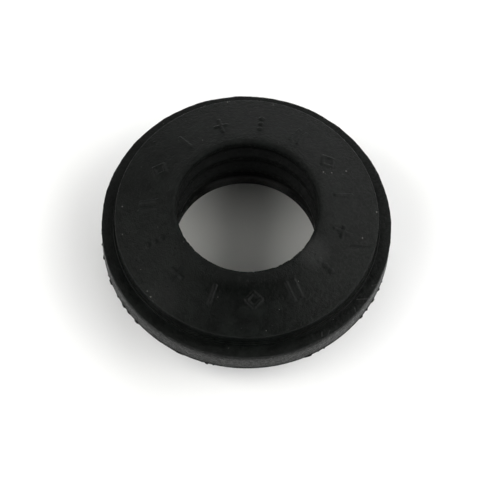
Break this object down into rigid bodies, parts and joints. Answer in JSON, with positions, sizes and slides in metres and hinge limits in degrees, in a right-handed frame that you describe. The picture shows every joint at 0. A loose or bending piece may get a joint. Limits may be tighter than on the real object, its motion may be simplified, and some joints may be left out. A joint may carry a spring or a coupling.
{
  "type": "suspension bump stop",
  "caption": "Moulded rubber ring with a raised coned face, a flange, a ribbed bore that grips a damper rod and a spigot that plugs into its seat.",
  "frame": {"origin": "on the bore's axis, at the bottom end of the spigot", "axes": "+Z along the bore, out through the raised face"},
  "size_m": [0.045, 0.045, 0.015],
  "materials": {
    "moulded_rubber": "matte, lightly dusty, with moulding flash on its edges"
  },
  "bodies": {
    "root": {"stop_ring": "moulded_rubber"}
  },
  "joints": []
}
